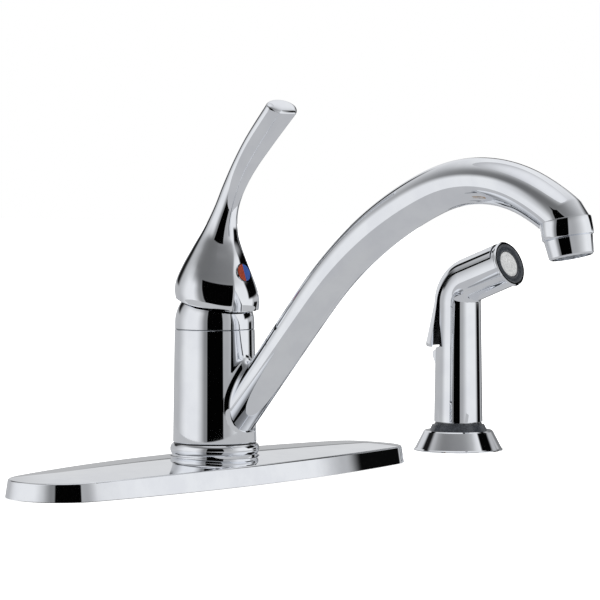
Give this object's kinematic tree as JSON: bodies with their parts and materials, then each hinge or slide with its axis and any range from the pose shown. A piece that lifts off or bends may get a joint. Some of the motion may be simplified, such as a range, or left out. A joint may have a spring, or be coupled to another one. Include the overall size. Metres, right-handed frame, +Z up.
{
  "type": "side spray kitchen faucet",
  "caption": "Single-lever kitchen faucet on an oval deck plate, with a swivelling arched spout, a lever that tilts and turns, and a thumb-lever side spray that lifts from its holder.",
  "frame": {"origin": "on the deck's top face, where the faucet body's vertical axis meets it", "axes": "+Z up out of the deck; the spout at rest points to -Y, over the sink; the side spray stands on the +X side"},
  "size_m": [0.3635, 0.2568, 0.2571],
  "materials": {
    "chrome": "polished chrome plate",
    "brass": "machined brass",
    "black_plastic": "fine-grained moulded plastic",
    "grey_plastic": "moulded acetal",
    "pale_plastic": "moulded spray face",
    "rubber": "matt nitrile rubber",
    "steel": "turned stainless steel",
    "zinc": "zinc-plated steel",
    "ceramic": "lapped alumina ceramic",
    "hot_red": "red enamel",
    "cold_blue": "blue enamel"
  },
  "bodies": {
    "base": {"deck_plate": "chrome", "plate_insert": "grey_plastic", "base_gasket": "rubber", "mounting_studs": "zinc", "stud_washers": "zinc", "wing_nuts": "black_plastic", "trim_ring": "chrome", "glide_ring": "black_plastic", "valve_body": "brass", "hot_supply_tube": "brass", "cold_supply_tube": "brass", "spray_outlet_nipple": "brass", "lower_o_ring": "rubber", "upper_o_ring": "rubber", "diverter_seat": "brass", "disc_seal": "rubber", "fixed_disc": "ceramic", "cartridge_housing": "grey_plastic", "bonnet_nut": "brass", "bonnet_cap": "chrome", "spray_support": "chrome", "support_bushing": "black_plastic", "support_gasket": "rubber", "support_nut": "black_plastic"},
    "spout": {"spout": "chrome", "aerator_housing": "chrome", "aerator_insert": "grey_plastic", "aerator_washer": "rubber"},
    "carrier": {"stem_carrier": "grey_plastic", "pivot_pin": "steel"},
    "handle": {"lever_handle": "chrome", "lever_stem": "steel", "index_button": "chrome", "hot_index": "hot_red", "cold_index": "cold_blue", "set_screw": "steel"},
    "disc": {"moving_disc": "ceramic", "disc_driver": "grey_plastic"},
    "diverter": {"diverter_poppet": "grey_plastic"},
    "spray_coupling": {"inlet_coupling": "brass", "coupling_clip": "steel"},
    "wand": {"wand_body": "chrome", "spray_nozzle": "black_plastic", "spray_disc": "pale_plastic", "nozzle_washer": "rubber", "trigger_pin": "steel", "plunger_gland": "grey_plastic", "return_spring": "steel"},
    "trigger": {"trigger_lever": "chrome"},
    "plunger": {"plunger": "steel", "plunger_washer": "rubber"}
  },
  "joints": [
    {"name": "spout_swivel", "type": "hinge", "parent": "base", "child": "spout", "pos_m": [0, 0, 0.046], "axis": [0, 0, 1], "range_deg": [-60, 60]},
    {"name": "lever_turn", "type": "hinge", "parent": "base", "child": "carrier", "pos_m": [0, 0, 0.0766], "axis": [0, 0, 1], "range_deg": [-45, 45]},
    {"name": "lever_tilt", "type": "hinge", "parent": "carrier", "child": "handle", "pos_m": [0, 0, 0.0766], "axis": [-1, 0, 0], "range_deg": [0, 24]},
    {"name": "disc_slide", "type": "slide", "parent": "carrier", "child": "disc", "axis": [0, -1, 0], "range_m": [0, 0.0059]},
    {"name": "diverter_slide", "type": "slide", "parent": "base", "child": "diverter", "axis": [0, 1, 0], "range_m": [0, 0.0015]},
    {"name": "spray_lift", "type": "slide", "parent": "base", "child": "spray_coupling", "axis": [0, 0, 1], "range_m": [0, 0.12]},
    {"name": "spray_swivel", "type": "hinge", "parent": "spray_coupling", "child": "wand", "pos_m": [0.2032, 0, 0.02], "axis": [0, 0, 1], "continuous": true},
    {"name": "trigger_press", "type": "hinge", "parent": "wand", "child": "trigger", "pos_m": [0.2032, -0.0133, 0.10157], "axis": [-1, 0, 0], "range_deg": [0, 2.4], "stiffness_Nm_per_rad": 2.5, "springref_deg": -2.86},
    {"name": "plunger_slide", "type": "slide", "parent": "wand", "child": "plunger", "axis": [0, -1, 0], "range_m": [0, 0.0014], "deforming": ["return_spring"]}
  ],
  "couplings": [
    {"joint": "disc_slide", "follows": "lever_tilt", "m_per_rad": 0.0139},
    {"joint": "plunger_slide", "follows": "trigger_press", "m_per_rad": 0.0316}
  ]
}
